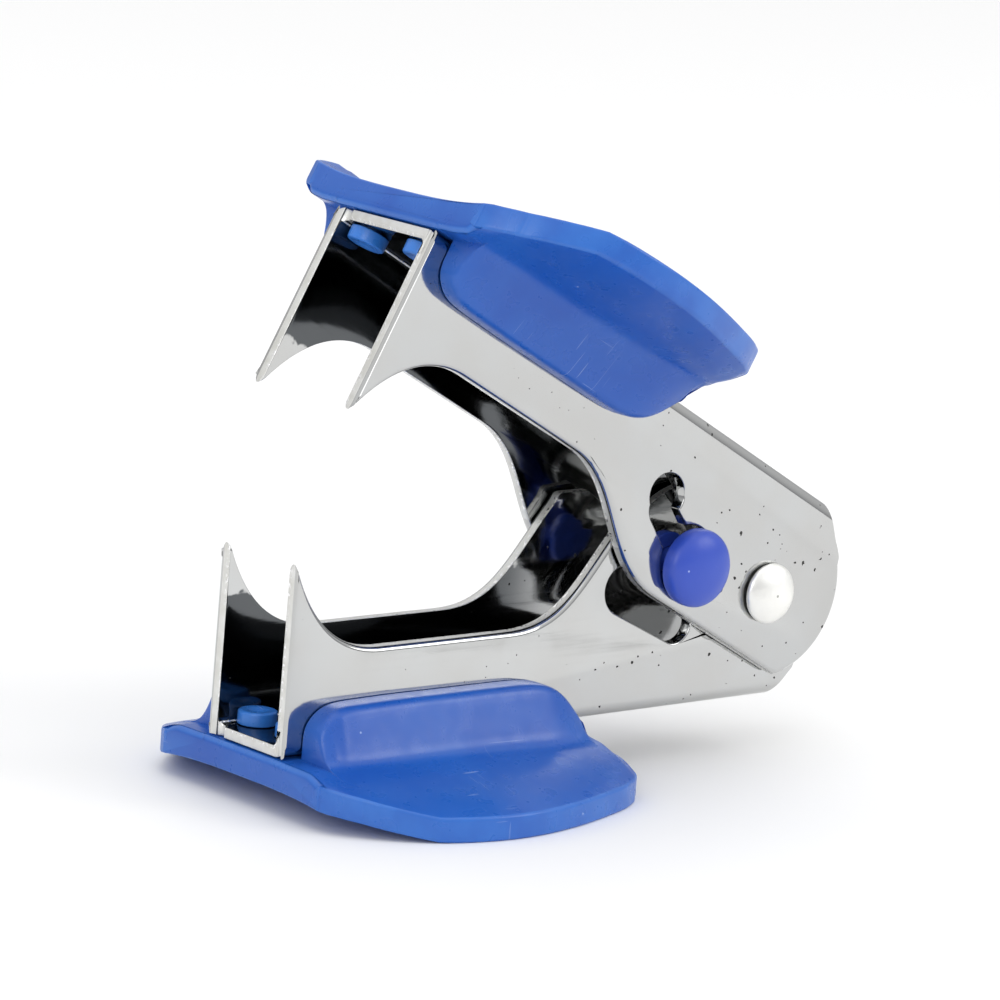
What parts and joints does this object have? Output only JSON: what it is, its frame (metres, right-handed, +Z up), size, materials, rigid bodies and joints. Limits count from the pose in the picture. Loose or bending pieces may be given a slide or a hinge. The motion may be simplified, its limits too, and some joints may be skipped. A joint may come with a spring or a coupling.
{
  "type": "staple remover",
  "caption": "Jaw-style staple remover: two pressed steel channels with fangs, sprung open about a rivet, with moulded saddle grips and a sliding lock button.",
  "frame": {"origin": "middle of the object's length and width, on the plane that the lower grip's side rims rest on", "axes": "+Z up, -X towards the fangs, +X towards the rivet, Y along the rivet; the mirror plane of the jaws is Y = 0; stored open at rest"},
  "size_m": [0.0596, 0.0394, 0.0517],
  "materials": {
    "jaw_steel": "bright plated steel sheet with small pits",
    "grip_plastic": "satin moulded blue plastic",
    "lock_plastic": "satin moulded violet-blue plastic",
    "rivet_steel": "satin zinc-plated steel",
    "spring_steel": "drawn spring wire"
  },
  "bodies": {
    "lower": {"lower_jaw": "jaw_steel", "lower_grip": "grip_plastic", "pivot_rivet": "rivet_steel", "torsion_spring": "spring_steel"},
    "upper": {"upper_jaw": "jaw_steel", "upper_grip": "grip_plastic"},
    "lock": {"lock_pin": "lock_plastic", "lock_retainer": "lock_plastic"}
  },
  "joints": [
    {"name": "jaw_close", "type": "hinge", "parent": "lower", "child": "upper", "pos_m": [0.0214, 0, 0.015], "axis": [0, -1, 0], "range_deg": [0, 30], "stiffness_Nm_per_rad": 0.3, "springref_deg": -15, "deforming": ["torsion_spring"]},
    {"name": "lock_slide", "type": "slide", "parent": "upper", "child": "lock", "axis": [-0.5527, 0, 0.8334], "range_m": [0, 0.00653]}
  ]
}
